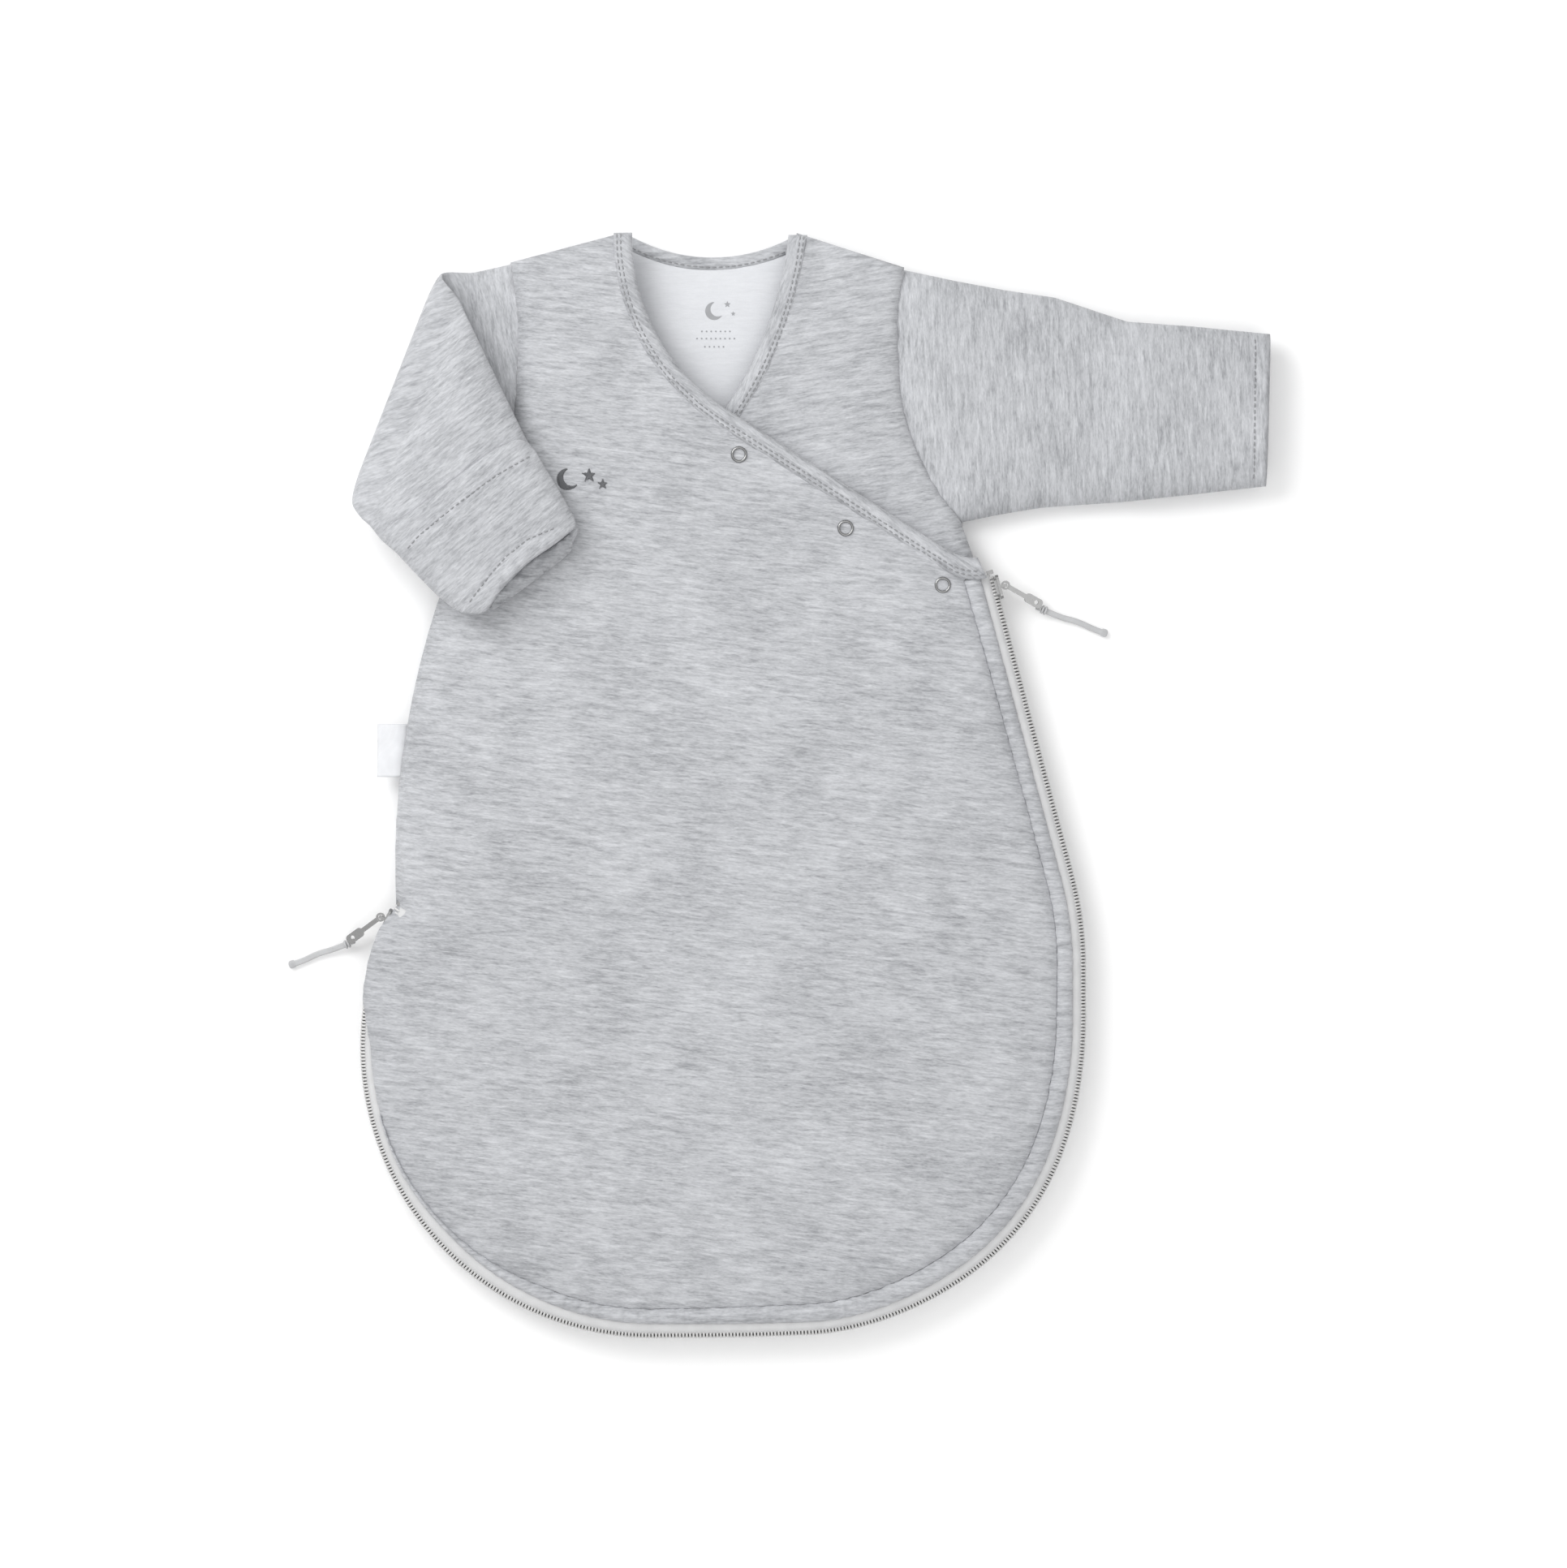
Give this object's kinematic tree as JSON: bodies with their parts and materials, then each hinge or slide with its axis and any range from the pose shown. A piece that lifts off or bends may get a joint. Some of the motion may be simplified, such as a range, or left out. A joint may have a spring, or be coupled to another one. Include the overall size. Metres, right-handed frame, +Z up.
{
  "type": "baby sleeping bag",
  "caption": "Padded newborn sleeping bag with a snapped wrap neck, folding sleeves with mitts, and a two-slider zip round the hem.",
  "frame": {"origin": "on the surface that the bag lies on, under the middle of its back, level with the middle of its length", "axes": "+X across the bag towards the side with the straight zip, +Y towards the neck, +Z up from the surface"},
  "size_m": [0.5039, 0.567, 0.0451],
  "materials": {
    "jersey": "heather-grey cotton jersey",
    "wadding": "polyester wadding",
    "lining": "white cotton jersey",
    "snap_metal": "polished plated ring snaps",
    "zip_metal": "plated die-cast zinc",
    "zip_tape": "woven polyester tape",
    "zip_coil": "moulded nylon coil",
    "pull_cord": "knitted cord",
    "label": "white satin ribbon",
    "thread": "dark grey embroidery thread"
  },
  "bodies": {
    "bag": {"back_shell": "jersey", "back_wadding": "wadding", "back_lining": "lining", "back_neck_binding": "jersey", "front_shell": "jersey", "front_wadding": "wadding", "front_lining": "lining", "wrap_neck_binding": "jersey", "under_wrap_shell": "jersey", "under_wrap_wadding": "wadding", "under_wrap_lining": "lining", "under_wrap_binding": "jersey", "front_snap_cap": "snap_metal", "front_snap_socket": "snap_metal", "snap_studs": "snap_metal", "stud_prong_rings": "snap_metal", "front_zip_tape": "zip_tape", "back_zip_tape": "zip_tape", "front_zip_coil": "zip_coil", "back_zip_coil": "zip_coil", "front_zip_border": "jersey", "back_zip_border": "jersey", "zip_stops": "zip_metal", "left_upper_sleeve_shell": "jersey", "left_upper_sleeve_wadding": "wadding", "left_upper_sleeve_lining": "lining", "right_upper_sleeve_shell": "jersey", "right_upper_sleeve_wadding": "wadding", "right_upper_sleeve_lining": "lining", "side_label": "label", "chest_embroidery": "thread"},
    "left_forearm": {"left_forearm_shell": "jersey", "left_forearm_wadding": "wadding", "left_forearm_lining": "lining"},
    "right_forearm": {"right_forearm_shell": "jersey", "right_forearm_wadding": "wadding", "right_forearm_lining": "lining"},
    "left_mitt_body": {"left_mitt": "jersey"},
    "right_mitt_body": {"right_mitt": "jersey"},
    "flap": {"flap_shell": "jersey", "flap_wadding": "wadding", "flap_lining": "lining", "flap_binding": "jersey", "flap_snap_caps": "snap_metal", "flap_snap_sockets": "snap_metal"},
    "top_slider_body": {"top_slider": "zip_metal"},
    "lower_slider_body": {"lower_slider": "zip_metal"},
    "top_pull": {"top_pull_tab": "zip_metal", "top_pull_cord": "pull_cord"},
    "lower_pull": {"lower_pull_tab": "zip_metal", "lower_pull_cord": "pull_cord"}
  },
  "joints": [
    {"name": "left_sleeve_fold", "type": "hinge", "parent": "bag", "child": "left_forearm", "pos_m": [-0.1629, 0.2015, 0.02255], "axis": [-0.3633, -0.9317, 0], "range_deg": [0, 180]},
    {"name": "right_sleeve_fold", "type": "hinge", "parent": "bag", "child": "right_forearm", "pos_m": [0.2083, 0.191, 0.01785], "axis": [0, -1, 0], "range_deg": [0, 180]},
    {"name": "left_mitt_turn", "type": "hinge", "parent": "left_forearm", "child": "left_mitt_body", "pos_m": [-0.10325, 0.1085, 0.0438], "axis": [0.8133, 0.5819, 0], "range_deg": [0, 180]},
    {"name": "right_mitt_turn", "type": "hinge", "parent": "right_forearm", "child": "right_mitt_body", "pos_m": [0.28025, 0.1915, 0.0013], "axis": [-0.032, -0.9995, 0], "range_deg": [0, 180]},
    {"name": "wrap_flap_lift", "type": "hinge", "parent": "bag", "child": "flap", "pos_m": [-0.024, 0.16, 0.0252], "axis": [0.915, -0.4035, 0], "range_deg": [0, 70]},
    {"name": "top_slider_travel", "type": "slide", "parent": "bag", "child": "top_slider_body", "axis": [0.2588, -0.9659, 0], "range_m": [0, 0.14]},
    {"name": "lower_slider_travel", "type": "hinge", "parent": "bag", "child": "lower_slider_body", "pos_m": [-0.036, -0.135, 0.0126], "axis": [0, 0, 1], "range_deg": [0, 110]},
    {"name": "top_pull_swing", "type": "hinge", "parent": "top_slider_body", "child": "top_pull", "pos_m": [0.14555, 0.1017, 0.0126], "axis": [0, 0, 1], "range_deg": [-42, 60]},
    {"name": "lower_pull_swing", "type": "hinge", "parent": "lower_slider_body", "child": "lower_pull", "pos_m": [-0.17547, -0.06877, 0.0126], "axis": [0, 0, 1], "range_deg": [-100, 20]}
  ]
}
